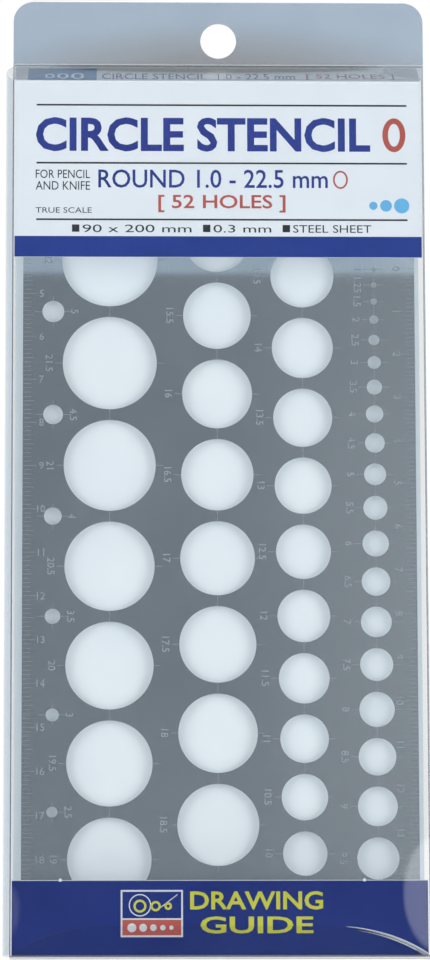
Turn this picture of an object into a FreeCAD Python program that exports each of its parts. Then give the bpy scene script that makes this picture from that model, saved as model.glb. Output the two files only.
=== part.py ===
import FreeCAD, Part
import os

import Sketcher
from FreeCAD import Placement, Rotation, Vector

# A circle template of etched stainless sheet, packed with a folded printed card in a clear film carton
# that has a double hang tab. Millimetres. +X is to the right, +Y to the back and +Z up. The origin is the
# middle of the carton's bottom: halfway between its outermost left and right points and its two big faces.
#
# Every film and card piece is a flat panel between creases, except the left wall, which bows outward.
# A panel that folds starts on its crease line, and its neighbour stops short of that line by the relief.

doc = FreeCAD.newDocument("CircleTemplatePack")
sheet = doc.addObject("Spreadsheet::Sheet", "Size")

DIMENSIONS = [
    # clear film carton
    ("film_gauge", 0.2, "thickness of the clear film"),
    ("film_gap", 0.05, "air between layers that lie on each other"),
    ("case_depth", 12.4, "outer face of the front film to outer face of the back film"),
    ("front_width", 93.9, "front panel"),
    ("front_offset", 0.275, "middle of the front panel, right of the origin"),
    ("front_height", 200.45, "crease between front panel and lid"),
    ("back_width", 95.2, "back panel and hang tab"),
    ("back_offset", 0.775, "middle of the back panel and tab, right of the origin"),
    ("wall_bow_radius", 11.7, "outer face of the bowed left wall, seen from above"),
    ("tab_crease_height", 206.75, "crease between lid and tab"),
    ("tab_height", 15.05, "crease to top edge of the tab"),
    ("tab_corner_radius", 4.7, "top corners of the tab"),
    ("tab_layer_gap", 0.1, "air between the two layers of the tab"),
    ("hang_hole_radius", 4.15, "round hole for a display hook"),
    ("hang_hole_rise", 5.8, "middle of the hang hole above the tab's crease"),
    ("hang_hole_offset", -0.05, "middle of the hang hole, right of the tab's middle"),
    ("glue_flap_width", 8.0, "seam flap inside the back panel"),
    ("glue_flap_inset", 0.4, "seam flap's root, in from the back panel's edge"),
    ("glue_flap_end", 4.0, "seam flap's ends, short of the front panel's ends"),
    ("glue_flap_slant", 3.0, "slant cut at each end of the seam flap"),
    ("dust_flap_length", 9.0, "dust flap, crease to tip"),
    ("dust_flap_taper", 5.6, "slanted edge on the side where the lid hinges"),
    ("dust_flap_inset", 1.2, "dust flap's root, in from the corner of the carton"),
    ("dust_flap_slant", 0.6, "slight slant of the dust flap's other edge"),
    ("tuck_slot", 0.4, "air between the front film and the tuck flap"),
    ("tuck_height", 6.8, "tuck flap, crease to free edge"),
    ("tuck_fold_relief", 0.4, "bottom lid's end, short of the crease that the tuck flap folds in at"),
    ("tuck_side_clearance", 0.6, "tuck flap's end, in from the front panel's edge"),
    ("tuck_corner_length", 21.0, "length of the tuck flap's curved corner"),
    ("tuck_corner_drop", 6.1, "drop of the tuck flap's curved corner"),
    # folded insert card
    ("card_gauge", 0.35, "thickness of the card"),
    ("card_width", 93.0, "card, a little narrower than the carton"),
    ("card_offset", 0.3, "middle of the card, right of the origin"),
    ("card_fold_gap", 0.03, "air where two card panels meet at a fold"),
    ("card_back_setback", 0.8, "middle of the card's back panel, in from the carton's back face"),
    ("header_setback", 0.475, "middle of the header panel, in from the carton's front face"),
    ("header_bottom", 158.9, "lower edge of the header panel"),
    ("label_setback", 1.275, "middle of the bottom label panel, in from the carton's front face"),
    ("label_top", 17.1, "upper edge of the bottom label panel"),
    # circle template
    ("plate_gauge", 0.3, "thickness of the stainless sheet"),
    ("plate_width", 90.0, "template, left to right"),
    ("plate_length", 200.0, "template, bottom to top"),
    ("plate_corner_radius", 0.8, "eased corners of the template"),
    ("plate_offset", 0.675, "middle of the template, right of the origin"),
    ("plate_back", 3.6, "middle of the template's thickness, behind the origin"),
    ("plate_rise", 2.2, "lower edge of the template above the carton's bottom"),
    ("hole_web", 2.5, "steel left between neighbouring circles of a column"),
    # columns of circles: place across from the left edge, first centre down from the top edge, sizes
    ("large_across", 19.9, "large circles"),
    ("large_down", 17.2, ""),
    ("large_diameter", 22.5, ""),
    ("large_step", -0.5, "each circle's diameter less the one above it"),
    ("medium_across", 44.5, "medium circles"),
    ("medium_down", 37.35, ""),
    ("medium_diameter", 15.0, ""),
    ("medium_step", 0.5, ""),
    ("small_across", 64.1, "small circles"),
    ("small_down", 45.85, ""),
    ("small_diameter", 14.5, ""),
    ("small_step", -0.5, ""),
    ("pin_across", 80.6, "the three smallest circles, in quarter millimetre steps"),
    ("pin_down", 44.2, ""),
    ("pin_diameter", 1.0, ""),
    ("pin_step", 0.25, ""),
    ("fine_across", 80.6, "fine circles, below the three smallest"),
    ("fine_down", 55.95, ""),
    ("fine_diameter", 2.0, ""),
    ("fine_step", 0.5, ""),
    ("edge_across", 6.95, "edge circles, each level with the web below a large circle"),
    ("edge_diameter", 5.5, ""),
    ("edge_step", -0.5, ""),
]
COLUMN_COUNTS = {"large": 8, "medium": 8, "small": 10, "pin": 3, "fine": 16}
EDGE_COUNT = 7

for row, (alias, size, meaning) in enumerate(DIMENSIONS, start=1):
    sheet.set(f"A{row}", str(size))
    sheet.setAlias(f"A{row}", alias)
    sheet.set(f"B{row}", meaning)
doc.recompute()


def number(expression):
    """The value of an expression over the sheet's aliases."""
    return float(sheet.evalExpression(expression))


# Sizes that several pieces share, as expressions over the sheet
GAUGE = "Size.film_gauge"
RELIEF = "(Size.film_gauge / 2 + Size.film_gap)"
FRONT_FILM_Y = "(-Size.case_depth / 2 + Size.film_gauge / 2)"
BACK_FILM_Y = "(Size.case_depth / 2 - Size.film_gauge / 2)"
WALL_END_Y = "(Size.case_depth / 2 - Size.film_gauge - Size.film_gap)"
LID_RUN = "(Size.case_depth - 2 * Size.film_gauge - Size.tab_layer_gap)"
LID_RISE = "(Size.tab_crease_height - Size.front_height)"
LID_LENGTH = f"sqrt({LID_RUN} ^ 2 + {LID_RISE} ^ 2)"
LID_COSINE = f"({LID_RUN} / {LID_LENGTH})"
FLAP_DROP = "(Size.film_gauge + Size.film_gap)"
CARD_DROP = "(1.5 * Size.film_gauge + 2 * Size.film_gap + Size.card_gauge / 2)"
BOTTOM_LID_LENGTH = "(Size.case_depth - 2 * Size.film_gauge - Size.tuck_slot)"
TUCK_Y = f"({FRONT_FILM_Y} + Size.film_gauge + Size.tuck_slot)"
WALL_BOTTOM = f"(Size.film_gauge / 2 + {FLAP_DROP} + {RELIEF})"
CARD_BOTTOM = f"(Size.film_gauge / 2 + {CARD_DROP} - Size.card_gauge / 2)"


def under_lid(depth, drop):
    """Height, at a depth, of the sloping plane a perpendicular drop below the lid's middle plane."""
    lid_height = f"Size.front_height + ({depth} - {FRONT_FILM_Y}) * {LID_RISE} / {LID_RUN}"
    return f"({lid_height} - ({drop}) / {LID_COSINE})"


def new_body(label):
    body = doc.addObject("PartDesign::Body", label)
    body.Label = label
    return body


def new_sketch(body, name, role="XY_Plane"):
    sketch = body.newObject("Sketcher::SketchObject", f"{body.Name}_{name}")
    plane = next(feature for feature in body.Origin.OriginFeatures if feature.Role == role)
    sketch.AttachmentSupport = [(plane, "")]
    sketch.MapMode = "FlatFace"
    return sketch


def bind(sketch, kind, elements, expression):
    """Adds a dimension to a sketch and ties it to the sheet."""
    index = sketch.addConstraint(Sketcher.Constraint(kind, *elements, number(expression)))
    sketch.setExpression(f"Constraints[{index}]", expression)


def bind_point(sketch, geometry, end, across, up):
    bind(sketch, "DistanceX", (-1, 1, geometry, end), across)
    bind(sketch, "DistanceY", (-1, 1, geometry, end), up)


def arc_through(start, end, radius):
    """An arc from start to end that bulges to the right of the way from start to end."""
    chord = end - start
    sagitta = radius - (radius**2 - (chord.Length / 2) ** 2) ** 0.5
    outward = Vector(chord.y, -chord.x, 0).normalize()
    return Part.Arc(start, (start + end) / 2 + outward * sagitta, end)


def draw_outline(sketch, corners, arcs=None):
    """Draws a closed outline, counterclockwise. arcs gives the radius of each edge that is an arc, by the
    number of the corner it starts from."""
    arcs = arcs or {}
    points = [Vector(number(across), number(up), 0) for across, up in corners]
    edges = []
    for index, start in enumerate(points):
        end = points[(index + 1) % len(points)]
        if index in arcs:
            geometry = sketch.addGeometry(arc_through(start, end, number(arcs[index])))
        else:
            geometry = sketch.addGeometry(Part.LineSegment(start, end))
        starts_there = sketch.getPoint(geometry, 1).isEqual(start, 1e-6)
        edges.append((geometry, 1, 2) if starts_there else (geometry, 2, 1))
    for index, (geometry, start_end, far_end) in enumerate(edges):
        following, following_start, _ = edges[(index + 1) % len(edges)]
        corner = Sketcher.Constraint("Coincident", geometry, far_end, following, following_start)
        sketch.addConstraint(corner)
        bind_point(sketch, geometry, start_end, *corners[index])
        if index in arcs:
            bind(sketch, "Radius", (geometry,), arcs[index])


def add_circle(sketch, across, up, radius):
    centre = Vector(number(across), number(up), 0)
    geometry = sketch.addGeometry(Part.Circle(centre, Vector(0, 0, 1), number(radius)))
    bind_point(sketch, geometry, 3, across, up)
    bind(sketch, "Radius", (geometry,), radius)


def pad(body, sketch, length, symmetric=True):
    feature = body.newObject("PartDesign::Pad", f"{sketch.Name}_pad")
    feature.Profile = sketch
    feature.SideType = "Symmetric" if symmetric else "One side"
    feature.setExpression("Length", length)
    return feature


def pocket_through(body, sketch):
    feature = body.newObject("PartDesign::Pocket", f"{sketch.Name}_pocket")
    feature.Profile = sketch
    feature.Type = "ThroughAll"
    feature.SideType = "Symmetric"
    return feature


def round_corners(body, base, radius, above):
    """Rounds the corners of a flat panel that lie above a height, in its own plane."""
    doc.recompute()
    names = [
        f"Edge{index}"
        for index, edge in enumerate(base.Shape.Edges, start=1)
        if abs(edge.tangentAt(edge.FirstParameter).z) > 0.999 and edge.CenterOfMass.y > above
        and edge.Curve.TypeId == "Part::GeomLine"
    ]
    feature = body.newObject("PartDesign::Fillet", f"{body.Name}_corners")
    feature.Base = (base, names)
    feature.setExpression("Radius", radius)
    return feature


def frame_at(origin, across, along):
    """A placement whose local X runs across and local Y along."""
    return Placement(origin, Rotation(across, along, across.cross(along), "XYZ"))


def upright_at(across, back, up):
    """A placement for a panel that stands facing the front."""
    origin = Vector(number(across), number(back), number(up))
    return frame_at(origin, Vector(1, 0, 0), Vector(0, 0, 1))


def rectangle(width, low, high, middle="0"):
    return [
        (f"{middle} - {width} / 2", low),
        (f"{middle} + {width} / 2", low),
        (f"{middle} + {width} / 2", high),
        (f"{middle} - {width} / 2", high),
    ]


def flat_panel(label, corners, gauge, placement, arcs=None):
    body = new_body(label)
    sketch = new_sketch(body, "outline")
    draw_outline(sketch, corners, arcs)
    pad(body, sketch, gauge)
    body.Placement = placement
    return body


# Directions along and out of the sloping lid
slope_run = number(f"{LID_RUN} / {LID_LENGTH}")
slope_rise = number(f"{LID_RISE} / {LID_LENGTH}")
RIGHT = Vector(1, 0, 0)
FORWARD = Vector(0, -1, 0)
UP = Vector(0, 0, 1)
LID_BACKWARD = Vector(0, slope_run, slope_rise)
LID_OUTWARD = RIGHT.cross(LID_BACKWARD)
lid_root = Vector(0, number(FRONT_FILM_Y), number("Size.front_height"))


def wall_line(side, end):
    """How far right of the origin a side wall, left (-1) or right (1), meets the front or back film."""
    return number(f"Size.{end}_offset + {side} * (Size.{end}_width / 2 - Size.film_gauge / 2)")


# Carton walls
def make_front_panel():
    corners = rectangle("Size.front_width", "0", f"Size.front_height - {RELIEF}")
    return flat_panel("front_panel", corners, GAUGE, upright_at("Size.front_offset", FRONT_FILM_Y, "0"))


def make_back_panel():
    corners = rectangle("Size.back_width", f"Size.film_gauge / 2 + {RELIEF}", "Size.tab_crease_height")
    return flat_panel("back_panel", corners, GAUGE, upright_at("Size.back_offset", BACK_FILM_Y, "0"))


def make_right_side_panel():
    front = Vector(wall_line(1, "front"), number(f"-{WALL_END_Y}"), 0)
    back = Vector(wall_line(1, "back"), number(WALL_END_Y), 0)
    depth = f"(2 * {WALL_END_Y})"
    drop = f"{FLAP_DROP} + {RELIEF}"
    corners = [
        ("0", WALL_BOTTOM),
        (depth, WALL_BOTTOM),
        (depth, under_lid(WALL_END_Y, drop)),
        ("0", under_lid(f"-{WALL_END_Y}", drop)),
    ]
    return flat_panel("right_side_panel", corners, GAUGE, frame_at(front, (back - front).normalize(), UP))


def make_left_side_panel():
    """The left wall bows outward in an arc, and its top edge slopes with the lid."""
    body = new_body("left_side_panel")
    plan = new_sketch(body, "plan")
    front_left = "Size.front_offset - Size.front_width / 2"
    back_left = "Size.back_offset - Size.back_width / 2"
    back_corner = Vector(number(back_left), number(WALL_END_Y), 0)
    front_corner = Vector(number(front_left), number(f"-{WALL_END_Y}"), 0)
    through = RIGHT * number(GAUGE)
    wall_arc = plan.addGeometry(arc_through(back_corner, front_corner, number("Size.wall_bow_radius")))
    inner_radius = number(f"Size.wall_bow_radius - {GAUGE}")
    inner = arc_through(back_corner + through, front_corner + through, inner_radius)
    film_arc = plan.addGeometry(inner)
    back_cap = plan.addGeometry(Part.LineSegment(back_corner, back_corner + through))
    front_cap = plan.addGeometry(Part.LineSegment(front_corner, front_corner + through))
    for arc in (wall_arc, film_arc):
        starts_at_back = plan.getPoint(arc, 1).y > 0
        back_end, front_end = (1, 2) if starts_at_back else (2, 1)
        cap_end = 1 if arc == wall_arc else 2
        plan.addConstraint(Sketcher.Constraint("Coincident", arc, back_end, back_cap, cap_end))
        plan.addConstraint(Sketcher.Constraint("Coincident", arc, front_end, front_cap, cap_end))
    plan.addConstraint(Sketcher.Constraint("Coincident", wall_arc, 3, film_arc, 3))
    plan.addConstraint(Sketcher.Constraint("Horizontal", back_cap))
    plan.addConstraint(Sketcher.Constraint("Horizontal", front_cap))
    bind_point(plan, back_cap, 1, back_left, WALL_END_Y)
    bind_point(plan, front_cap, 1, front_left, f"-{WALL_END_Y}")
    bind(plan, "Radius", (wall_arc,), "Size.wall_bow_radius")
    bind(plan, "Radius", (film_arc,), "Size.wall_bow_radius - Size.film_gauge")
    drop = f"{FLAP_DROP} + {RELIEF}"
    wall_top = under_lid(WALL_END_Y, drop)
    pad(body, plan, f"{wall_top} - {WALL_BOTTOM}", symmetric=False)
    slope = new_sketch(body, "slope", "YZ_Plane")
    draw_outline(slope, [
        (f"-{WALL_END_Y}", f"{under_lid(f'-{WALL_END_Y}', drop)} - {WALL_BOTTOM}"),
        (WALL_END_Y, f"{wall_top} - {WALL_BOTTOM}"),
        (WALL_END_Y, f"{wall_top} - {WALL_BOTTOM} + 1"),
        (f"-{WALL_END_Y}", f"{wall_top} - {WALL_BOTTOM} + 1"),
    ])
    body.Tip = pocket_through(body, slope)
    body.Placement = Placement(Vector(0, 0, number(WALL_BOTTOM)), Rotation())
    return body


def make_glue_flap():
    """The seam flap that holds the blank closed, inside the back panel."""
    low = "Size.glue_flap_end"
    high = "Size.front_height - Size.glue_flap_end"
    corners = [
        ("0", low),
        ("Size.glue_flap_width", f"{low} + Size.glue_flap_slant"),
        ("Size.glue_flap_width", f"{high} - Size.glue_flap_slant"),
        ("0", high),
    ]
    left = "Size.back_offset - Size.back_width / 2 + Size.glue_flap_inset"
    placement = upright_at(left, f"{BACK_FILM_Y} - Size.film_gauge - Size.film_gap", "0")
    return flat_panel("glue_flap", corners, GAUGE, placement)


# Hang tab
def make_tab_layer(label, back):
    body = new_body(label)
    sketch = new_sketch(body, "outline")
    draw_outline(sketch, rectangle("Size.back_width", "0", "Size.tab_height"))
    add_circle(sketch, "Size.hang_hole_offset", "Size.hang_hole_rise", "Size.hang_hole_radius")
    layer = pad(body, sketch, GAUGE)
    body.Tip = round_corners(body, layer, "Size.tab_corner_radius", number("Size.tab_height / 2"))
    body.Placement = upright_at("Size.back_offset", back, "Size.tab_crease_height")
    return body


# Lids and flaps
def make_top_lid():
    root = rectangle("Size.front_width", "0", "0", "Size.front_offset")
    end = rectangle("Size.back_width", "0", f"{LID_LENGTH} - {RELIEF}", "Size.back_offset")
    return flat_panel("top_lid", root[:2] + end[2:], GAUGE, frame_at(lid_root, RIGHT, LID_BACKWARD))


def make_bottom_lid():
    root = rectangle("Size.back_width", "0", "0", "Size.back_offset")
    reach = f"{BOTTOM_LID_LENGTH} - Size.tuck_fold_relief"
    end = rectangle("Size.front_width", "0", reach, "Size.front_offset")
    origin = Vector(0, number(BACK_FILM_Y), number("Size.film_gauge / 2"))
    return flat_panel("bottom_lid", root[:2] + end[2:], GAUGE, frame_at(origin, RIGHT, FORWARD))


def make_bottom_tuck_flap():
    half = "(Size.front_width / 2 - Size.tuck_side_clearance)"
    shoulder = "Size.tuck_height - Size.tuck_corner_drop"
    radius = "(Size.tuck_corner_length ^ 2 + Size.tuck_corner_drop ^ 2) / (2 * Size.tuck_corner_drop)"
    corners = [
        (f"-{half}", "0"),
        (half, "0"),
        (half, shoulder),
        (f"{half} - Size.tuck_corner_length", "Size.tuck_height"),
        (f"Size.tuck_corner_length - {half}", "Size.tuck_height"),
        (f"-{half}", shoulder),
    ]
    placement = upright_at("Size.front_offset", TUCK_Y, "Size.film_gauge / 2")
    return flat_panel("bottom_tuck_flap", corners, GAUGE, placement, arcs={2: radius, 4: radius})


def make_dust_flap(label, hinge_end, far_end, span, inward):
    """A dust flap creased along a side wall. hinge_end is the end of its crease beside the lid's own hinge,
    and span the lid's length."""
    along = (far_end - hinge_end).normalize()
    across = (inward - along * inward.dot(along)).normalize()
    corners = [
        ("Size.dust_flap_inset", "0"),
        (f"{span} - Size.dust_flap_inset", "0"),
        (f"{span} - Size.dust_flap_inset - Size.dust_flap_slant", "Size.dust_flap_length"),
        ("Size.dust_flap_inset + Size.dust_flap_taper", "Size.dust_flap_length"),
    ]
    return flat_panel(label, corners, GAUGE, frame_at(hinge_end, along, across))


def make_dust_flaps():
    top_drop = LID_OUTWARD * number(f"-{FLAP_DROP}")
    bottom_height = number(f"Size.film_gauge / 2 + {FLAP_DROP}")
    for side, name in ((-1, "left"), (1, "right")):
        inward = RIGHT * -side
        front_across, back_across = wall_line(side, "front"), wall_line(side, "back")
        top_front = lid_root + top_drop + RIGHT * front_across
        top_back = lid_root + top_drop + LID_BACKWARD * number(LID_LENGTH) + RIGHT * back_across
        make_dust_flap(f"top_dust_flap_{name}", top_front, top_back, LID_LENGTH, inward)
        bottom_back = Vector(back_across, number(BACK_FILM_Y), bottom_height)
        bottom_front = Vector(front_across, number(TUCK_Y), bottom_height)
        make_dust_flap(f"bottom_dust_flap_{name}", bottom_back, bottom_front, BOTTOM_LID_LENGTH, inward)


# Insert card, folded round the template: back, top strip, header, bottom strip and label
def make_insert_card():
    gauge = "Size.card_gauge"
    back_y = "(Size.case_depth / 2 - Size.card_back_setback)"
    header_y = "(-Size.case_depth / 2 + Size.header_setback)"
    label_y = "(-Size.case_depth / 2 + Size.label_setback)"
    below_strip = f"{CARD_DROP} + Size.card_gauge / 2 + Size.card_fold_gap"
    back_top = under_lid(f"({back_y} - Size.card_gauge / 2)", below_strip)
    header_top = under_lid(f"({header_y} - Size.card_gauge / 2)", below_strip)
    panels = [
        ("insert_back_panel", back_y, CARD_BOTTOM, back_top),
        ("insert_header_panel", header_y, "Size.header_bottom", header_top),
        ("insert_bottom_panel", label_y, CARD_BOTTOM, "Size.label_top"),
    ]
    for label, depth, low, high in panels:
        flat_panel(label, rectangle("Size.card_width", low, high), gauge,
                   upright_at("Size.card_offset", depth, "0"))
    strip_origin = lid_root + LID_OUTWARD * number(f"-{CARD_DROP}") + RIGHT * number("Size.card_offset")
    strip_end = f"{LID_LENGTH} - 2 * Size.card_gauge"
    flat_panel("insert_top_strip", rectangle("Size.card_width", "0", strip_end), gauge,
               frame_at(strip_origin, RIGHT, LID_BACKWARD))
    half_gauge_in = "Size.card_gauge / 2 + Size.card_fold_gap"
    floor = rectangle("Size.card_width", f"{label_y} + {half_gauge_in}", f"{back_y} - ({half_gauge_in})")
    strip_middle = Vector(number("Size.card_offset"), 0, number(f"{CARD_BOTTOM} + Size.card_gauge / 2"))
    flat_panel("insert_bottom_strip", floor, gauge, Placement(strip_middle, Rotation()))


# Circle template
def column_centre(name, index):
    """Distance down from the plate's top edge to the centre of a column's circle."""
    return (f"(Size.{name}_down + {index} * (Size.{name}_diameter + Size.hole_web)"
            f" + Size.{name}_step * {index * index / 2})")


def column_diameter(name, index):
    return f"(Size.{name}_diameter + {index} * Size.{name}_step)"


def drill(body, name, circles):
    """Cuts one column of circles, each given by its distance down and its diameter."""
    sketch = new_sketch(body, f"{name}_circles")
    for down, diameter in circles:
        add_circle(sketch, f"Size.{name}_across - Size.plate_width / 2", f"Size.plate_length - {down}",
                   f"{diameter} / 2")
    return pocket_through(body, sketch)


def make_template_plate():
    body = new_body("template_plate")
    outline = new_sketch(body, "outline")
    draw_outline(outline, rectangle("Size.plate_width", "0", "Size.plate_length"))
    blank = pad(body, outline, "Size.plate_gauge")
    round_corners(body, blank, "Size.plate_corner_radius", -1)
    for name, count in COLUMN_COUNTS.items():
        circles = [(column_centre(name, index), column_diameter(name, index)) for index in range(count)]
        cut = drill(body, name, circles)
    edge_circles = [
        (f"({column_centre('large', index)} + ({column_diameter('large', index)} + Size.hole_web) / 2)",
         column_diameter("edge", index))
        for index in range(EDGE_COUNT)
    ]
    cut = drill(body, "edge", edge_circles)
    body.Tip = cut
    body.Placement = upright_at("Size.plate_offset", "Size.plate_back", "Size.plate_rise")
    return body


make_front_panel()
make_back_panel()
make_right_side_panel()
make_left_side_panel()
make_glue_flap()
make_tab_layer("hang_tab_back_layer", BACK_FILM_Y)
make_tab_layer("hang_tab_front_layer", f"{BACK_FILM_Y} - Size.film_gauge - Size.tab_layer_gap")
make_top_lid()
make_bottom_lid()
make_bottom_tuck_flap()
make_dust_flaps()
make_insert_card()
make_template_plate()
doc.recompute()

bodies = [thing for thing in doc.Objects if thing.TypeId == "PartDesign::Body"]
for thing in doc.Objects:
    if "Invalid" in thing.State or "Error" in thing.State:
        raise RuntimeError(f"{thing.Label} failed to recompute: {thing.State}")
for body in bodies:
    if body.Shape.isNull() or not body.Shape.isValid():
        raise RuntimeError(f"{body.Label} has no valid shape")
    if len(body.Shape.Solids) != 1:
        raise RuntimeError(f"{body.Label} is not one solid")

os.makedirs("parts", exist_ok=True)
for body in bodies:
    body.Shape.exportStep(os.path.join("parts", f"{body.Label}.step"))
    box = body.Shape.BoundBox
    print(f"{body.Label:24s} x {box.XMin:8.3f} {box.XMax:8.3f}  y {box.YMin:7.3f} {box.YMax:7.3f}  "
          f"z {box.ZMin:8.3f} {box.ZMax:8.3f}  volume {body.Shape.Volume:9.2f}")
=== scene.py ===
import math

import bpy
from mathutils import Matrix, Vector


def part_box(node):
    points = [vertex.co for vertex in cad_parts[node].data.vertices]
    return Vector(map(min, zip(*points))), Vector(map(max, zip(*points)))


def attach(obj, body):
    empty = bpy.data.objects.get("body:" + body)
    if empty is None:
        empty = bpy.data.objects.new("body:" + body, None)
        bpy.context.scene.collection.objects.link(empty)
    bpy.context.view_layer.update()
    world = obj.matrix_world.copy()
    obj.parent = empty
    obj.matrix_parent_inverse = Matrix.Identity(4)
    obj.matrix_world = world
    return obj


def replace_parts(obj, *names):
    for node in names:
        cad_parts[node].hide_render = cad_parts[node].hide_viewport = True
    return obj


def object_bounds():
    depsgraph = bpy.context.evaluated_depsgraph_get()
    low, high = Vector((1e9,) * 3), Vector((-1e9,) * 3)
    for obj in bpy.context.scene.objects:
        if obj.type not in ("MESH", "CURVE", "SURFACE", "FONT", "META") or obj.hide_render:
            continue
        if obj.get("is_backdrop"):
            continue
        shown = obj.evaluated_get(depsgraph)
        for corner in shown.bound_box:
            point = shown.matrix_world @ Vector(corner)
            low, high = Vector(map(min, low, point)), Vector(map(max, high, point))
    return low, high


MM = 0.001  # every place below is in millimetres of the CAD frame unless it says metres
SINK = -0.004  # print and etched marks start this far under their surface, and rise from there
PRINT_RISE = 0.016
LINE_RISE = 0.012

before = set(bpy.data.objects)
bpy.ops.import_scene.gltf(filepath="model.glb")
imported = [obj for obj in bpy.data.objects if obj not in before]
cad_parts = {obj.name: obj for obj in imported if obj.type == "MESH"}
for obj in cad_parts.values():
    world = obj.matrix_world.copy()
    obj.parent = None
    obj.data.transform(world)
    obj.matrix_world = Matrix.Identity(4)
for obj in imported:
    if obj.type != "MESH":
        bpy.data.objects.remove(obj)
cad_low, cad_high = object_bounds()


# ---------------------------------------------------------------- materials

class Finish:
    """A material built round one Principled shader, with procedural detail in object coordinates."""

    def __init__(self, name, **sockets):
        self.material = bpy.data.materials.new(name)
        self.material.use_nodes = True
        self.tree = self.material.node_tree
        self.shader = self.tree.nodes["Principled BSDF"]
        for socket, value in sockets.items():
            self.shader.inputs[socket.replace("_", " ")].default_value = value
        self.place = self.tree.nodes.new("ShaderNodeTexCoord").outputs["Object"]

    def node(self, kind, **settings):
        node = self.tree.nodes.new(kind)
        for key, value in settings.items():
            setattr(node, key, value)
        return node

    def join(self, source, target):
        self.tree.links.new(source, target)

    def stretched(self, scale):
        mapping = self.node("ShaderNodeMapping")
        mapping.inputs["Scale"].default_value = scale
        self.join(self.place, mapping.inputs["Vector"])
        return mapping.outputs["Vector"]

    def noise(self, scale, detail=3.0, stretch=(1, 1, 1)):
        node = self.node("ShaderNodeTexNoise")
        node.inputs["Scale"].default_value = scale
        node.inputs["Detail"].default_value = detail
        self.join(self.stretched(stretch), node.inputs["Vector"])
        return node.outputs["Fac"]

    def span(self, value, low, high, start=0.3, end=0.7):
        """A value spread over a range, for roughness and masks."""
        node = self.node("ShaderNodeMapRange")
        node.inputs["From Min"].default_value = start
        node.inputs["From Max"].default_value = end
        node.inputs["To Min"].default_value = low
        node.inputs["To Max"].default_value = high
        self.join(value, node.inputs["Value"])
        return node.outputs["Result"]

    def blend(self, mask, first, second):
        """A colour between two colours, each an RGB triple or another node's output."""
        node = self.node("ShaderNodeMix", data_type="RGBA")
        self.join(mask, node.inputs["Factor"])
        for socket, colour in ((node.inputs[6], first), (node.inputs[7], second)):
            if isinstance(colour, bpy.types.NodeSocket):
                self.join(colour, socket)
            else:
                socket.default_value = (*colour, 1)
        return node.outputs[2]

    def colour(self, value):
        self.join(value, self.shader.inputs["Base Color"])

    def roughness(self, value):
        self.join(value, self.shader.inputs["Roughness"])

    def bump(self, value, strength, distance):
        node = self.node("ShaderNodeBump")
        node.inputs["Strength"].default_value = strength
        node.inputs["Distance"].default_value = distance
        self.join(value, node.inputs["Height"])
        previous = self.shader.inputs["Normal"]
        if previous.links:
            self.join(previous.links[0].from_socket, node.inputs["Normal"])
        self.join(node.outputs["Normal"], previous)

    def near(self, centre, radii, core=0.86):
        """1 inside an ellipsoid and 0 outside it, with its edge softening from core out. Centre and radii are
        in metres."""
        mapping = self.node("ShaderNodeMapping", vector_type="TEXTURE")
        mapping.inputs["Location"].default_value = centre
        mapping.inputs["Scale"].default_value = radii
        self.join(self.place, mapping.inputs["Vector"])
        length = self.node("ShaderNodeVectorMath", operation="LENGTH")
        self.join(mapping.outputs["Vector"], length.inputs[0])
        return self.span(length.outputs["Value"], 1.0, 0.0, core, 1.02)


def film_finish(name, dark, pale, alpha, patches=()):
    """Clear plastic film: glossy, faintly wavy, finely scuffed. Each patch is a place, its radii, how much of
    it is even, and the colour painted there; most patches are painted highlights and painted shade laid on
    the film."""
    film = Finish(name, Alpha=alpha, IOR=1.65)
    waves = film.noise(55.0, 2.0)
    scuffs = film.noise(900.0, 4.0, (1.0, 1.0, 0.12))
    tint = film.blend(film.span(waves, 0.0, 1.0), dark, pale)
    for centre, radii, core, patch in patches:
        tint = film.blend(film.near(centre, radii, core), tint, patch)
    film.colour(tint)
    film.roughness(film.span(scuffs, 0.10, 0.24))
    film.bump(waves, 0.35, 0.0006)
    film.bump(scuffs, 0.08, 0.00003)
    return film.material


def paper_finish(name, colour, shade, gloss=0.42, soak=0.0, painted_glow=0.0):
    """Coated card or printing ink on it: fine fibres and slight mottling. soak is how much light spreads
    inside the card. The last argument is painted light: an even light given off by the card itself, no lamp,
    standing in for light that comes through it from the other side."""
    paper = Finish(name, Specular_IOR_Level=0.22, Subsurface_Weight=soak, Subsurface_Scale=0.0002,
                   Subsurface_Radius=(1.0, 1.0, 1.0), Emission_Color=(0.92, 0.96, 1.0, 1.0),
                   Emission_Strength=painted_glow)
    fibres = paper.noise(2600.0, 5.0, (1.0, 1.0, 0.45))
    mottle = paper.noise(90.0, 3.0)
    paper.colour(paper.blend(paper.span(mottle, 0.0, 1.0), colour, shade))
    paper.roughness(paper.span(fibres, gloss - 0.07, gloss + 0.12))
    paper.bump(fibres, 0.25, 0.00002)
    return paper.material


def steel_finish():
    """Cold-rolled stainless sheet, satin, with a fine grain along its length."""
    steel = Finish("etched_steel", Metallic=1.0)
    grain = steel.noise(5200.0, 3.0, (1.0, 1.0, 0.06))
    clouds = steel.noise(22.0, 3.0)
    smudges = steel.noise(140.0, 5.0, (1.0, 1.0, 0.6))
    body = steel.blend(steel.span(clouds, 0.0, 1.0), (0.60, 0.67, 0.72), (0.68, 0.745, 0.79))
    body = steel.blend(steel.span(smudges, 0.0, 0.3, 0.45, 0.75), body, (0.76, 0.82, 0.86))
    # painted reflection: the steel grows paler towards its right edge, as if it mirrored more light there
    painted_reflection_side = steel.near((0.052, 0.0036, 0.085), (0.05, 0.02, 0.13), 0.15)
    body = steel.blend(painted_reflection_side, body, (0.90, 0.97, 1.0))
    steel.colour(steel.blend(steel.span(grain, 0.0, 0.25), body, (0.50, 0.57, 0.62)))
    steel.roughness(steel.span(grain, 0.17, 0.25))
    steel.bump(grain, 0.06, 0.000004)
    return steel.material


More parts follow.
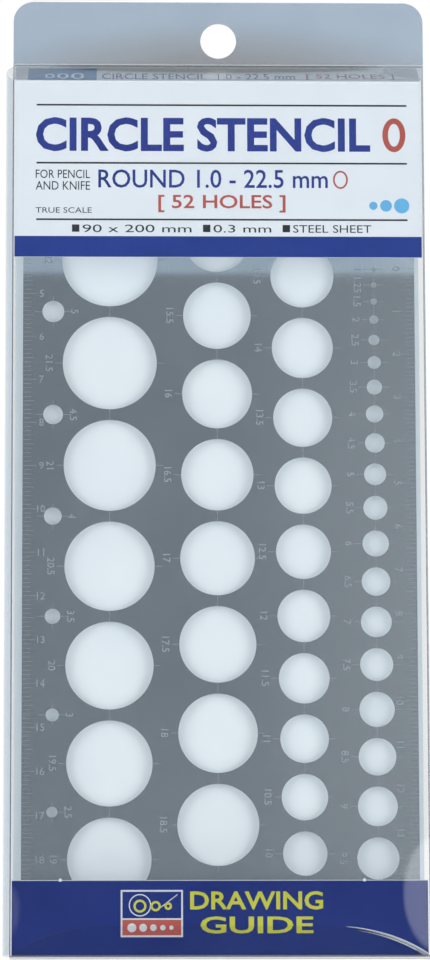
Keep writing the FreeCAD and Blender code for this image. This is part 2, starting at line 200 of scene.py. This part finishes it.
def mark_finish():
    """The frosted floor of an etched line."""
    mark = Finish("etched_mark", Metallic=0.35)
    frost = mark.noise(3500.0, 3.0)
    mark.colour(mark.blend(mark.span(frost, 0.0, 1.0), (0.26, 0.30, 0.34), (0.44, 0.49, 0.54)))
    mark.roughness(mark.span(frost, 0.55, 0.8))
    mark.bump(frost, 0.3, 0.00001)
    return mark.material


FILM = film_finish("clear_film", (0.04, 0.06, 0.08), (0.07, 0.09, 0.11), 0.065)
FRONT_FILM = film_finish("clear_film_front", (0.04, 0.06, 0.08), (0.07, 0.09, 0.11), 0.065, [
    # painted reflection: a pale patch on the front film over the label's right end
    ((0.0495, -0.0061, 0.014), (0.0085, 0.004, 0.0135), 0.9, (0.95, 0.98, 1.0)),
    # painted reflection: a paler patch on the front film at the lower left corner
    ((-0.0475, -0.0061, 0.0105), (0.0036, 0.004, 0.0065), 0.7, (0.35, 0.38, 0.45)),
])
SIDE_FILM = film_finish("clear_film_side", (0.06, 0.22, 0.36), (0.11, 0.28, 0.42), 0.17)
LID_FILM = film_finish("clear_film_lid", (0.35, 0.41, 0.48), (0.40, 0.46, 0.53), 0.36, [
    # painted shade: a dark band over the lid's rear, between the dust flaps
    ((0.0, 0.0042, 0.2055), (0.0392, 0.0058, 0.006), 0.85, (0.01, 0.014, 0.02)),
])
# The tab's denser blue-grey tint is partly the film's own tint over two layers and partly painted shade of
# what lies behind the tab.
TAB_FILM = film_finish("clear_film_tab", (0.12, 0.26, 0.41), (0.17, 0.31, 0.45), 0.27, [
    # painted shade: darker towards the tab's base in its middle
    ((0.0, 0.0058, 0.2050), (0.052, 0.01, 0.0120), 0.30, (0.0, 0.035, 0.085)),
])
TUCK_FILM = film_finish("clear_film_tuck_flap", (0.004, 0.02, 0.10), (0.008, 0.03, 0.13), 0.03)
CREASE_FILM = film_finish("creased_film", (0.12, 0.20, 0.28), (0.22, 0.30, 0.38), 0.46)
EDGE_FILM = film_finish("film_edge", (0.08, 0.11, 0.17), (0.14, 0.18, 0.24), 0.22)
# painted glint and painted sheen: near-white film for the bright streak along the tuck flap's right corner
GLINT_FILM = film_finish("painted_glint_film", (0.86, 0.94, 1.0), (0.94, 0.98, 1.0), 0.60)
SHEEN_FILM = film_finish("painted_sheen_film", (0.72, 0.84, 1.0), (0.82, 0.92, 1.0), 0.26)
# painted reflection: the dust flaps' near-white tint makes them a lighter haze than the film around them
FLAP_FILM = film_finish("clear_film_flap", (0.86, 0.91, 0.96), (0.92, 0.96, 1.0), 0.14)
FOLD_LIGHT = film_finish("folded_film_light", (0.72, 0.80, 0.86), (0.82, 0.88, 0.93), 0.72)
BOTTOM_FILM = film_finish("clear_film_bottom", (0.72, 0.75, 0.78), (0.80, 0.83, 0.86), 0.42, [
    ((0.0, -0.0062, 0.0), (0.07, 0.0062, 0.004), 0.7, (0.10, 0.11, 0.14)),
])
LOWER_EDGE = film_finish("film_lower_edge", (0.20, 0.22, 0.28), (0.26, 0.28, 0.34), 0.62)
FOLD_SHADE = film_finish("folded_film_shade", (0.02, 0.03, 0.04), (0.05, 0.06, 0.07), 0.42)
# painted light: both cards give off a little light of their own, the header card more, to lighten their
# shaded sides, the holes and the header's back seen in the steel
WHITE_CARD = paper_finish("white_card", (0.735, 0.80, 0.835), (0.705, 0.775, 0.815), soak=0.6, painted_glow=0.16)
HEADER_CARD = paper_finish("header_card", (0.645, 0.705, 0.755), (0.61, 0.675, 0.73), soak=0.6, painted_glow=0.24)
BLUE_CARD = paper_finish("blue_card", (0.003, 0.017, 0.170), (0.006, 0.024, 0.200))
BLUE_INK = paper_finish("blue_ink", (0.022, 0.040, 0.26), (0.030, 0.055, 0.31))
BAND_INK = paper_finish("band_ink", (0.012, 0.038, 0.255), (0.017, 0.047, 0.295))
RED_INK = paper_finish("red_ink", (0.44, 0.085, 0.07), (0.50, 0.11, 0.09))
BLACK_INK = paper_finish("black_ink", (0.02, 0.022, 0.028), (0.035, 0.038, 0.045))
SKY_INK = paper_finish("sky_blue_ink", (0.13, 0.46, 0.80), (0.16, 0.50, 0.84))
BLOCK_INK = paper_finish("block_ink", (0.02, 0.27, 0.63), (0.03, 0.30, 0.67))
YELLOW_INK = paper_finish("yellow_ink", (0.52, 0.55, 0.04), (0.60, 0.62, 0.06))
SEAM = paper_finish("seam_tape", (0.66, 0.72, 0.76), (0.60, 0.66, 0.70), gloss=0.5)
STEEL = steel_finish()
MARK = mark_finish()


def paint(node, material):
    """Gives a CAD node's own material slots this finish."""
    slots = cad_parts[node].data.materials
    for index in range(len(slots)):
        slots[index] = material


CAD_FINISHES = {
    "front_panel": FRONT_FILM,
    "left_side_panel": SIDE_FILM,
    "right_side_panel": SIDE_FILM,
    "top_lid": LID_FILM,
    "bottom_lid": BOTTOM_FILM,
    "bottom_tuck_flap": TUCK_FILM,
    "top_dust_flap_left": FLAP_FILM,
    "top_dust_flap_right": FLAP_FILM,
    "hang_tab_front_layer": TAB_FILM,
    "hang_tab_back_layer": TAB_FILM,
    "insert_back_panel": WHITE_CARD,
    "insert_top_strip": WHITE_CARD,
    "insert_header_panel": HEADER_CARD,
    "insert_bottom_strip": BLUE_CARD,
    "insert_bottom_panel": BLUE_CARD,
    "template_plate": STEEL,
}
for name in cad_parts:
    paint(name, CAD_FINISHES.get(name, FILM))


# ---------------------------------------------------------------- building pieces

class Sheet:
    """A flat surface that marks lie on: across and up run in it, out points away from it."""

    def __init__(self, origin, across, up):
        self.origin = Vector(origin) * MM
        self.across = Vector(across).normalized()
        self.up = Vector(up).normalized()
        self.out = self.across.cross(self.up)

    def at(self, u, v, lift):
        return self.origin + (self.across * u + self.up * v + self.out * lift) * MM


class Piece:
    """Collects closed solids, then makes them into one object that rides on a body."""

    def __init__(self, name, material, body, slot):
        self.name, self.material, self.body, self.slot = name, material, body, slot
        self.points, self.faces = [], []

    def add(self, points, faces):
        first = len(self.points)
        self.points += points
        self.faces += [[first + index for index in face] for face in faces]

    def prism(self, sheet, outline, lift, rise, hole=None):
        """A flat solid over an outline of (u, v) points, counterclockwise. hole is an outline with as many
        points."""
        count = len(outline)
        solid = hole is None
        rings = [outline, outline] if solid else [outline, outline, hole, hole]
        heights = [lift, lift + rise, lift + rise, lift]
        points = [sheet.at(u, v, heights[k]) for k, ring in enumerate(rings) for u, v in ring]
        faces = []
        steps = len(rings) - 1 if solid else len(rings)
        for k in range(steps):
            following = (k + 1) % len(rings)
            for i in range(count):
                j = (i + 1) % count
                faces.append([k * count + i, k * count + j, following * count + j, following * count + i])
        if solid:
            faces.append(list(range(count))[::-1])
            faces.append([count + i for i in range(count)])
        self.add(points, faces)

    def rectangle(self, sheet, left, right, low, high, lift=SINK, rise=PRINT_RISE):
        self.prism(sheet, [(left, low), (right, low), (right, high), (left, high)], lift, rise)

    def disc(self, sheet, u, v, radius, lift=SINK, rise=PRINT_RISE, inner=None, tall=1.0, sides=48):
        """A round or, with tall over 1, an upright oval disc. inner makes it a ring."""
        def ring(size):
            turns = [2 * math.pi * i / sides for i in range(sides)]
            return [(u + size * math.cos(t), v + (size + radius * (tall - 1)) * math.sin(t)) for t in turns]
        self.prism(sheet, ring(radius), lift, rise, None if inner is None else ring(inner))

    def line(self, sheet, start, end, width, lift=SINK, rise=LINE_RISE):
        """A straight mark between two (u, v) points."""
        a, b = Vector(start), Vector(end)
        side = (b - a).orthogonal().normalized() * width / 2
        outline = [a - side, b - side, b + side, a + side]
        clockwise = (b - a).cross(side) < 0
        if clockwise:
            outline.reverse()
        self.prism(sheet, [tuple(p) for p in outline], lift, rise)

    def tube(self, path, radius, sides=10, grows=False):
        """A slim round bead along a path of points, with rounded ends. A bead that grows starts at an eighth
        of its radius."""
        path = [Vector(p) for p in path]
        first, last = (path[1] - path[0]).normalized(), (path[-1] - path[-2]).normalized()
        sizes = [min(1.0, 0.12 + 1.3 * k / len(path)) if grows else 1.0 for k in range(len(path))]
        stations = [(path[0] - first * radius * 0.9 * sizes[0], 0.45 * sizes[0])]
        stations += list(zip(path[:-1], sizes))
        stations += [(path[-1], 1.0), (path[-1] + last * radius * 0.9, 0.45)]
        points, faces = [], []
        for k, (centre, size) in enumerate(stations):
            before = stations[max(k - 1, 0)][0]
            after = stations[min(k + 1, len(stations) - 1)][0]
            along = (after - before).normalized()
            side = along.cross(Vector((0.31, 0.83, 0.46))).normalized()
            other = along.cross(side)
            for i in range(sides):
                turn = 2 * math.pi * i / sides
                offset = side * math.cos(turn) + other * math.sin(turn)
                points.append((centre + offset * radius * size) * MM)
        for k in range(len(stations) - 1):
            for i in range(sides):
                j = (i + 1) % sides
                faces.append([k * sides + i, k * sides + j, (k + 1) * sides + j, (k + 1) * sides + i])
        faces.append(list(range(sides))[::-1])
        faces.append([(len(stations) - 1) * sides + i for i in range(sides)])
        self.add(points, faces)

    def figure(self, sheet, words, across, up, height, turned=False):
        """Small lettering in its natural proportions, centred on a point."""
        self.text(sheet, words, (across, across, up, up), weight=0.008, turned=turned, height=height)

    def text(self, sheet, words, box, weight=0.0, turned=False, height=None):
        """Plain lettering. It fills a box (left, right, low, high), or has its natural width where a height
        is given. Turned lettering reads downward."""
        shape = bpy.data.curves.new("lettering", "FONT")
        shape.body = words
        shape.resolution_u = 3
        shape.offset = weight
        shape.extrude = 0.5
        holder = bpy.data.objects.new("lettering", shape)
        mesh = bpy.data.meshes.new_from_object(holder)
        left, right, low, high = box
        wide = [v.co.x for v in mesh.vertices]
        tall = [v.co.y for v in mesh.vertices]
        width, drop = max(wide) - min(wide), max(tall) - min(tall)
        if height:
            half_height, half_width = height / 2, height / 2 * width / drop
            grow_across, grow_up = (half_height, half_width) if turned else (half_width, half_height)
            left, right, low, high = left - grow_across, right + grow_across, low - grow_up, high + grow_up
        points = []
        for vertex in mesh.vertices:
            s = (vertex.co.x - min(wide)) / width
            t = (vertex.co.y - min(tall)) / drop
            if turned:
                u, v = left + (right - left) * t, high - (high - low) * s
            else:
                u, v = left + (right - left) * s, low + (high - low) * t
            points.append(sheet.at(u, v, SINK + PRINT_RISE * (vertex.co.z + 0.5)))
        self.add(points, [list(polygon.vertices) for polygon in mesh.polygons])
        bpy.data.objects.remove(holder)
        bpy.data.curves.remove(shape)
        bpy.data.meshes.remove(mesh)

    def finish(self):
        mesh = bpy.data.meshes.new(self.name)
        mesh.from_pydata(self.points, [], self.faces)
        mesh.validate()
        mesh.materials.append(self.material)
        piece = bpy.data.objects.new(self.name, mesh)
        bpy.context.scene.collection.objects.link(piece)
        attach(piece, self.body)
        return piece


def millimetres(node):
    low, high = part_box(node)
    return low / MM, high / MM


# ---------------------------------------------------------------- print on the header card

header_low, header_high = millimetres("insert_header_panel")
HEADER = Sheet((0, header_low.y, 0), (1, 0, 0), (0, 0, 1))


def header_print(name, material):
    return Piece(name, material, "carton", "printed_card")


rules = header_print("header_rules", BLACK_INK)
for height in (194.4, 180.8, 167.6):
    rules.rectangle(HEADER, -41.25, 43.6, height - 0.2, height + 0.2)
rules.finish()

band = header_print("header_blue_band", BAND_INK)
band.rectangle(HEADER, header_low.x, header_high.x, header_low.z, 163.7)
band.finish()

title = header_print("header_title", BLUE_INK)
title.text(HEADER, "CIRCLE STENCIL", (-41.4, 35.2, 183.5, 191.5), weight=0.028)
title.finish()

red = header_print("header_red_print", RED_INK)
red.disc(HEADER, 40.65, 187.5, 2.65, inner=1.35, tall=1.5)
red.disc(HEADER, 28.3, 177.0, 1.7, inner=1.3, tall=1.25)
red.text(HEADER, "[ 52 HOLES ]", (-13.4, 15.7, 169.3, 173.4), weight=0.012)
red.finish()

subtitle = header_print("header_subtitle", BLUE_INK)
subtitle.text(HEADER, "ROUND 1.0 - 22.5 mm", (-27.1, 25.4, 175.0, 179.3), weight=0.008)
subtitle.finish()

notes = header_print("header_small_print", BLACK_INK)
notes.text(HEADER, "FOR PENCIL", (-41.4, -29.0, 177.2, 179.2))
notes.text(HEADER, "AND KNIFE", (-41.4, -29.0, 174.5, 176.5))
notes.text(HEADER, "TRUE SCALE", (-41.4, -28.6, 169.1, 170.4))
sheet_facts = ((-33.1, "90 x 200 mm", -5.8), (-3.2, "0.3 mm", 12.4), (15.0, "STEEL SHEET", 35.3))
for left, words, right in sheet_facts:
    notes.rectangle(HEADER, left, left + 1.7, 164.7, 166.4)
    notes.text(HEADER, words, (left + 2.4, right, 164.6, 166.4))
notes.finish()

discs = header_print("header_pale_blue_discs", SKY_INK)
for middle, radius in ((35.8, 0.95), (38.7, 1.35), (42.3, 1.75)):
    discs.disc(HEADER, middle, 170.95, radius)
discs.finish()


# ---------------------------------------------------------------- print on the card's sloping top strip

lid_root = Vector((0, -6.1, 200.45))
lid_slope = (Vector((0, 5.8, 206.75)) - lid_root).normalized()
lid_out = Vector((1, 0, 0)).cross(lid_slope)
STRIP = Sheet(lid_root - lid_out * 0.4, (1, 0, 0), lid_slope)

block = header_print("top_strip_blue_block", BLOCK_INK)
block.rectangle(STRIP, -43.3, -27.5, 0.75, 11.6)
block.finish()

block_marks = header_print("top_strip_rings", WHITE_CARD)
for middle, radius in ((-38.3, 1.1), (-35.3, 1.3), (-31.9, 1.5)):
    block_marks.disc(STRIP, middle, 4.4, radius, lift=0.010, inner=radius * 0.55, tall=1.9)
block_marks.finish()

strip_words = header_print("top_strip_print", BLUE_INK)
strip_words.text(STRIP, "CIRCLE STENCIL  1.0 - 22.5 mm", (-26.3, 18.2, 1.5, 6.9))
strip_words.finish()

strip_red = header_print("top_strip_red_print", RED_INK)
strip_red.text(STRIP, "[ 52 HOLES ]", (20.8, 41.0, 1.5, 6.9))
strip_red.finish()


# ---------------------------------------------------------------- print on the bottom label

label_low, label_high = millimetres("insert_bottom_panel")
LABEL = Sheet((0, label_low.y, 0), (1, 0, 0), (0, 0, 1))


def label_print(name, material):
    return Piece(name, material, "carton", "blue_card")


edge = label_print("label_pale_edge", WHITE_CARD)
edge.rectangle(LABEL, label_low.x, label_high.x, label_high.z - 0.14, label_high.z)
for across in (-35.4, 32.6):
    edge.disc(LABEL, across, label_high.z, 0.38, sides=16)
edge.finish()

box_frame = label_print("label_box_frame", WHITE_CARD)
box_frame.prism(LABEL, [(-21.9, 4.4), (-8.0, 4.4), (-8.0, 14.9), (-21.9, 14.9)], SINK, PRINT_RISE,
                [(-21.5, 4.8), (-8.4, 4.8), (-8.4, 14.5), (-21.5, 14.5)])
box_frame.rectangle(LABEL, -21.5, -8.4, 8.25, 8.6)
box_frame.disc(LABEL, -17.6, 11.5, 2.5, inner=2.25)
box_frame.line(LABEL, (-13.0, 11.0), (-9.2, 13.9), 0.18)
box_frame.finish()

box_red = label_print("label_box_red_band", RED_INK)
box_red.rectangle(LABEL, -21.5, -8.4, 4.8, 8.25)
box_red.finish()

pictogram = label_print("label_box_rings", YELLOW_INK)
for middle, radius in ((-17.6, 1.45), (-14.1, 1.15), (-11.3, 0.85)):
    pictogram.disc(LABEL, middle, 11.3, radius, inner=radius - 0.5)
pictogram.finish()

band_marks = label_print("label_band_discs", WHITE_CARD)
for number, middle in enumerate((-19.4, -16.9, -14.6, -12.5, -10.6)):
    band_marks.disc(LABEL, middle, 6.5, 1.0 - 0.13 * number, lift=0.008)
band_marks.finish()

yellow = label_print("label_yellow_print", YELLOW_INK)
yellow.text(LABEL, "DRAWING", (-6.4, 23.3, 10.5, 14.6), weight=0.02)
yellow.text(LABEL, "GUIDE", (-4.1, 21.1, 5.2, 9.0), weight=0.02)
yellow.finish()


# ---------------------------------------------------------------- etched marks on the template

plate_low, plate_high = millimetres("template_plate")
PLATE = Sheet((plate_low.x, plate_low.y, plate_high.z), (1, 0, 0), (0, 0, 1))
WEB = 2.5  # steel between neighbouring circles
HALF_GAUGE = 0.15
RIM_EASE = 0.02


def etching(name):
    return Piece(name, MARK, "template", "etched_steel")


def column(across, down, diameter, step, count):
    """Circles of a column as (across, up, diameter), measured from the plate's top left corner."""
    circles = []
    for index in range(count):
        drop = down + index * (diameter + WEB) + step * index * index / 2
        circles.append((across, -drop, diameter + step * index))
    return circles


large = column(19.9, 17.2, 22.5, -0.5, 8)
medium = column(44.5, 37.35, 15.0, 0.5, 8)
small = column(64.1, 45.85, 14.5, -0.5, 10)
pins = column(80.6, 44.2, 1.0, 0.25, 3)
fine = column(80.6, 55.95, 2.0, 0.5, 16)
edge_circles = []  # each level with the web below a large circle
for index, (_, up, size) in enumerate(large[:7]):
    edge_circles.append((6.95, up - (size + WEB) / 2, 5.5 - 0.5 * index))
all_columns = {"large": large, "medium": medium, "small": small, "fine": pins + fine, "edge": edge_circles}


def make_plate():
    """The steel sheet with its round holes and slightly eased etched rims."""
    shape = bpy.data.curves.new("template_sheet", "CURVE")
    shape.dimensions = "2D"
    shape.fill_mode = "BOTH"
    shape.extrude = HALF_GAUGE - RIM_EASE
    shape.bevel_depth = RIM_EASE
    shape.bevel_resolution = 0
    shape.offset = -RIM_EASE

    def closed(points):
        spline = shape.splines.new("POLY")
        spline.points.add(len(points) - 1)
        for point, (u, v) in zip(spline.points, points):
            point.co = (u, v, 0, 1)
        spline.use_cyclic_u = True

    corner = 0.8
    width, length = plate_high.x - plate_low.x, plate_high.z - plate_low.z
    outline = []
    for u, v, start in ((width - corner, -corner, 0), (corner, -corner, 90), (corner, corner - length, 180),
                        (width - corner, corner - length, 270)):
        for k in range(9):
            turn = math.radians(start + 90 * k / 8)
            outline.append((u + corner * math.cos(turn), v + corner * math.sin(turn)))
    closed(outline)
    for circles in all_columns.values():
        for u, v, size in circles:
            sides = 96 if size > 6 else 64
            turns = [2 * math.pi * k / sides for k in range(sides)]
            closed([(u + size / 2 * math.cos(t), v + size / 2 * math.sin(t)) for t in turns])
    holder = bpy.data.objects.new("template_sheet", shape)
    flat = bpy.data.meshes.new_from_object(holder)
    plate = Piece("template_sheet", STEEL, "template", "etched_steel")
    plate.add([PLATE.at(p.co.x, p.co.y, p.co.z - HALF_GAUGE) for p in flat.vertices],
              [list(polygon.vertices) for polygon in flat.polygons])
    bpy.data.objects.remove(holder)
    bpy.data.curves.remove(shape)
    bpy.data.meshes.remove(flat)
    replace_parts(plate.finish(), "template_plate")


make_plate()

CENTRE_LINE = 0.10
SCALE_LINE = 0.08
FIGURE_HEIGHT = 1.7

for name, circles in all_columns.items():
    lines = etching(f"centre_lines_{name}")
    for u, v, size in circles:
        reach = size / 2
        for side in (-1, 1):
            lines.line(PLATE, (u + side * (reach + 0.15), v), (u + side * (reach + 1.75), v), CENTRE_LINE)
        lines.line(PLATE, (u, v + reach + 0.12), (u, v + reach + 1.1), CENTRE_LINE)
        lines.line(PLATE, (u, v - reach - 0.12), (u, v - reach - 1.1), CENTRE_LINE)
    lines.finish()

for name, circles in all_columns.items():
    sizes = etching(f"size_figures_{name}")
    for u, v, size in circles:
        middle = u + size / 2 + 2.4 if name == "edge" else u - size / 2 - 3.1
        sizes.figure(PLATE, f"{size:g}", middle, v, FIGURE_HEIGHT, turned=True)
    sizes.finish()

SCALE_EDGE = 0.15  # scale lines stop this far from the steel's edge
RIGHT_SCALE_TOP = 44  # the right scale's zero, down from the sheet's top


def tick_length(step):
    return 3.1 if step % 10 == 0 else 2.5 if step % 5 == 0 else 1.8


left_scale = etching("left_scale")
for step in range(2, 199):
    left_scale.line(PLATE, (SCALE_EDGE, -step), (SCALE_EDGE + tick_length(step), -step), SCALE_LINE)
left_scale.finish()

left_figures = etching("left_scale_figures")
for centimetre in range(1, 20):
    left_figures.figure(PLATE, str(centimetre), 4.3, -10 * centimetre, FIGURE_HEIGHT)
left_figures.finish()

right_scale = etching("right_scale")
right_end = plate_high.x - plate_low.x - SCALE_EDGE
for step in range(155):
    down = -RIGHT_SCALE_TOP - step
    right_scale.line(PLATE, (right_end - tick_length(step), down), (right_end, down), SCALE_LINE)
right_scale.finish()

right_figures = etching("right_scale_figures")
for centimetre in range(16):
    down = -RIGHT_SCALE_TOP - 10 * centimetre
    right_figures.figure(PLATE, str(centimetre), 85.8, down, FIGURE_HEIGHT, turned=True)
right_figures.finish()


# ---------------------------------------------------------------- folds, creases, seam tape, and painted glint and shade on the film

def crease(name, path, radius, body, material=CREASE_FILM, slot="clear_film", grows=False):
    """The rounded line where a sheet is folded or ends."""
    bead = Piece(name, material, body, slot)
    bead.tube(path, radius, grows=grows)
    bead.finish()


front_low, front_high = millimetres("front_panel")
back_low, back_high = millimetres("back_panel")
FACE_CREASE = 6.08  # the side creases' distance before and behind the middle

for side, front_x, back_x, inward in (("left", front_low.x, back_low.x, 0.1),
                                      ("right", front_high.x, back_high.x, -0.1)):
    front_x, back_x = front_x + inward, back_x + inward
    upright = [(front_x, -FACE_CREASE, 0.3), (front_x, -FACE_CREASE, 200.2)]
    crease(f"front_{side}_crease", upright, 0.12, "carton")
    upright = [(back_x, FACE_CREASE, 0.5), (back_x, FACE_CREASE, 206.6)]
    crease(f"back_{side}_crease", upright, 0.12, "carton")


def cross_crease(name, span, inset, y, z, radius, body, *looks):
    """A level bead across the pack, held in from both ends of a span."""
    crease(name, [(span[0] + inset, y, z), (span[1] - inset, y, z)], radius, body, *looks)


front_span, back_span = (front_low.x, front_high.x), (back_low.x, back_high.x)
card_span = (-46.0, 46.6)
cross_crease("lid_front_crease", front_span, 0.1, -FACE_CREASE, 200.42, 0.10, "top_lid", EDGE_FILM)
cross_crease("tab_base_crease", back_span, 0.1, 5.72, 206.78, 0.15, "top_lid", FOLD_LIGHT)
# painted shade: the dark bead along the lid's rear deepens the shaded band there
cross_crease("lid_rear_fold_shade", back_span, 0.4, 5.55, 206.45, 0.17, "top_lid", FOLD_SHADE)
cross_crease("bottom_back_crease", back_span, 0.1, 6.06, 0.13, 0.12, "bottom_lid", EDGE_FILM)
cross_crease("front_film_lower_edge", front_span, 0.2, -6.04, 0.16, 0.15, "carton", LOWER_EDGE)
cross_crease("card_fold_front", card_span, 0, -5.66, 199.56, 0.27, "carton", WHITE_CARD, "printed_card")
cross_crease("card_fold_back", card_span, 0, 5.25, 205.98, 0.27, "carton", WHITE_CARD, "printed_card")
cross_crease("card_fold_label", card_span, 0, -4.93, 0.7, 0.16, "carton", BLUE_CARD, "blue_card")

seam = Piece("seam_adhesive", SEAM, "carton", "clear_film")
seam_sheet = Sheet((0, 5.995, 0), (1, 0, 0), (0, 0, 1))
seam.prism(seam_sheet, [(-44.6, 12), (-40.6, 12), (-40.6, 190), (-44.6, 190)], 0.0, 0.04)
seam.finish()

tuck_low, tuck_high = millimetres("bottom_tuck_flap")
CORNER_RUN, CORNER_RISE = 21.0, 6.1  # the arc of the flap's corner, along the flap and up it
BEHIND_FRONT_FILM = -5.5


def tuck_corner(side, inset):
    """Points along the tuck flap's curved corner, left (-1) or right (1)."""
    middle = (tuck_low.x + tuck_high.x) / 2
    end = Vector((side * (tuck_high.x - tuck_low.x) / 2, 0.8))
    start = end + Vector((-side * CORNER_RUN, CORNER_RISE))
    radius = (CORNER_RUN**2 + CORNER_RISE**2) / (2 * CORNER_RISE)
    centre = start - Vector((0, radius))
    first = math.atan2(end.y - centre.y, abs(end.x - centre.x))
    turns = [math.pi / 2 + (first - math.pi / 2) * i / 24 for i in range(25)]
    reach = radius - inset
    points = []
    for turn in turns:
        across = middle + centre.x + side * reach * math.cos(turn)
        points.append((across, BEHIND_FRONT_FILM, centre.y + reach * math.sin(turn)))
    return points


# painted glint: two pale beads along the tuck flap's right corner, with a pale crescent of painted sheen
# between them
crease("tuck_flap_right_corner_glint", tuck_corner(1, 0.1)[3:], 0.22, "bottom_tuck_flap", GLINT_FILM, grows=True)
crease("tuck_flap_right_inner_glint", tuck_corner(1, 0.75)[6:22], 0.13, "bottom_tuck_flap", GLINT_FILM, grows=True)
sheen = Piece("tuck_flap_right_sheen", SHEEN_FILM, "bottom_tuck_flap", "clear_film")
sheen_sheet = Sheet((0, BEHIND_FRONT_FILM + 0.01, 0), (1, 0, 0), (0, 0, 1))
outer = [Vector((x, z)) for x, _, z in tuck_corner(1, 0.15)[3:]]
inner = [Vector((x, z)) for x, _, z in tuck_corner(1, 1.0)[3:]]
widening = [a.lerp(b, 0.05 + 0.95 * k / len(outer)) for k, (a, b) in enumerate(zip(outer, inner))]
sheen.prism(sheen_sheet, [tuple(point) for point in widening + outer[::-1]], 0.0, 0.02)
sheen.finish()
crease("tuck_flap_left_corner", tuck_corner(-1, 0.0), 0.04, "bottom_tuck_flap", EDGE_FILM)


# ---------------------------------------------------------------- floor, light, camera

def light(name, place, size, watts, target=(0.0, 0.0, 0.11)):
    """A square soft light that faces the pack."""
    lamp = bpy.data.lights.new(name, "AREA")
    lamp.shape = "SQUARE"
    lamp.size = size
    lamp.energy = watts
    holder = bpy.data.objects.new(name, lamp)
    holder.location = place
    holder.rotation_euler = (Vector(target) - Vector(place)).to_track_quat("-Z", "Y").to_euler()
    bpy.context.scene.collection.objects.link(holder)


def make_floor():
    """A wide pale floor below the pack, which hangs from its tab."""
    size, height = 7.0, -0.125
    mesh = bpy.data.meshes.new("floor")
    corners = [(-size, -size, height), (size, -size, height), (size, size, height), (-size, size, height)]
    mesh.from_pydata(corners, [], [(0, 1, 2, 3)])
    ground = Finish("floor")
    grain = ground.noise(6.0, 3.0)
    ground.colour(ground.blend(grain, (0.82, 0.83, 0.84), (0.86, 0.87, 0.88)))
    ground.roughness(ground.span(grain, 0.7, 0.85))
    mesh.materials.append(ground.material)
    floor = bpy.data.objects.new("floor", mesh)
    bpy.context.scene.collection.objects.link(floor)
    floor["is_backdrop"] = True


def make_sky():
    """White studio behind the pack, dimmer in front of it, so that the steel is darker than the card."""
    world = bpy.data.worlds.new("studio")
    world.use_nodes = True
    bpy.context.scene.world = world
    tree = world.node_tree
    place = tree.nodes.new("ShaderNodeTexCoord")
    split = tree.nodes.new("ShaderNodeSeparateXYZ")
    turned = tree.nodes.new("ShaderNodeMapping")
    turned.inputs["Rotation"].default_value = (0, 0, math.radians(9))
    tree.links.new(place.outputs["Generated"], turned.inputs["Vector"])
    tree.links.new(turned.outputs["Vector"], split.inputs["Vector"])
    tone = tree.nodes.new("ShaderNodeMix")
    tone.data_type = "RGBA"
    tone.inputs[6].default_value = (0.232, 0.252, 0.275, 1)
    tone.inputs[7].default_value = (1.02, 1.02, 1.02, 1)
    targets = (tone.inputs["Factor"], tree.nodes["Background"].inputs["Strength"])
    spans = (("Y", -0.985, -0.45, 0.0, 1.0), ("Z", 0.35, 0.9, 1.0, 0.72))
    for target, (axis, start, end, low, high) in zip(targets, spans):
        ramp = tree.nodes.new("ShaderNodeMapRange")
        for socket, value in (("From Min", start), ("From Max", end), ("To Min", low), ("To Max", high)):
            ramp.inputs[socket].default_value = value
        tree.links.new(split.outputs[axis], ramp.inputs["Value"])
        tree.links.new(ramp.outputs["Result"], target)
    tree.links.new(tone.outputs[2], tree.nodes["Background"].inputs["Color"])


def make_camera():
    """A long lens about a metre away, a little to the left and below, looking up at the pack."""
    turn, tilt, roll = math.radians(1.52), math.radians(8.94), math.radians(-0.16)
    forward = Vector((math.sin(turn) * math.cos(tilt), math.cos(turn) * math.cos(tilt), math.sin(tilt)))
    level = Vector((math.cos(turn), -math.sin(turn), 0))
    upward = level.cross(forward)
    right = level * math.cos(roll) + upward * math.sin(roll)
    top = upward * math.cos(roll) - level * math.sin(roll)
    lens = bpy.data.cameras.new("camera")
    lens.lens = 166.24
    lens.sensor_width = 36.0
    lens.clip_start, lens.clip_end = 0.02, 30.0
    camera = bpy.data.objects.new("camera", lens)
    place = Matrix.Translation((-0.0269, -0.9966, -0.0485))
    camera.matrix_world = place @ Matrix((right, top, -forward)).transposed().to_4x4()
    bpy.context.scene.collection.objects.link(camera)
    bpy.context.scene.camera = camera


make_floor()
make_sky()
light("left_softbox", (-1.0, -0.75, 0.12), 0.7, 6.8)
light("right_softbox", (1.0, -0.75, 0.12), 0.7, 7.6)
make_camera()
bpy.context.scene.view_settings.view_transform = "Standard"

# ---------------------------------------------------------------- both boxes, joined into one line of text

seen_low, seen_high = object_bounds()
lines = ", ".join(
    f'"{name}": {[round(c, 6) for c in corner]}'
    for name, corner in (("cad_low", cad_low), ("cad_high", cad_high), ("low", seen_low), ("high", seen_high))
)
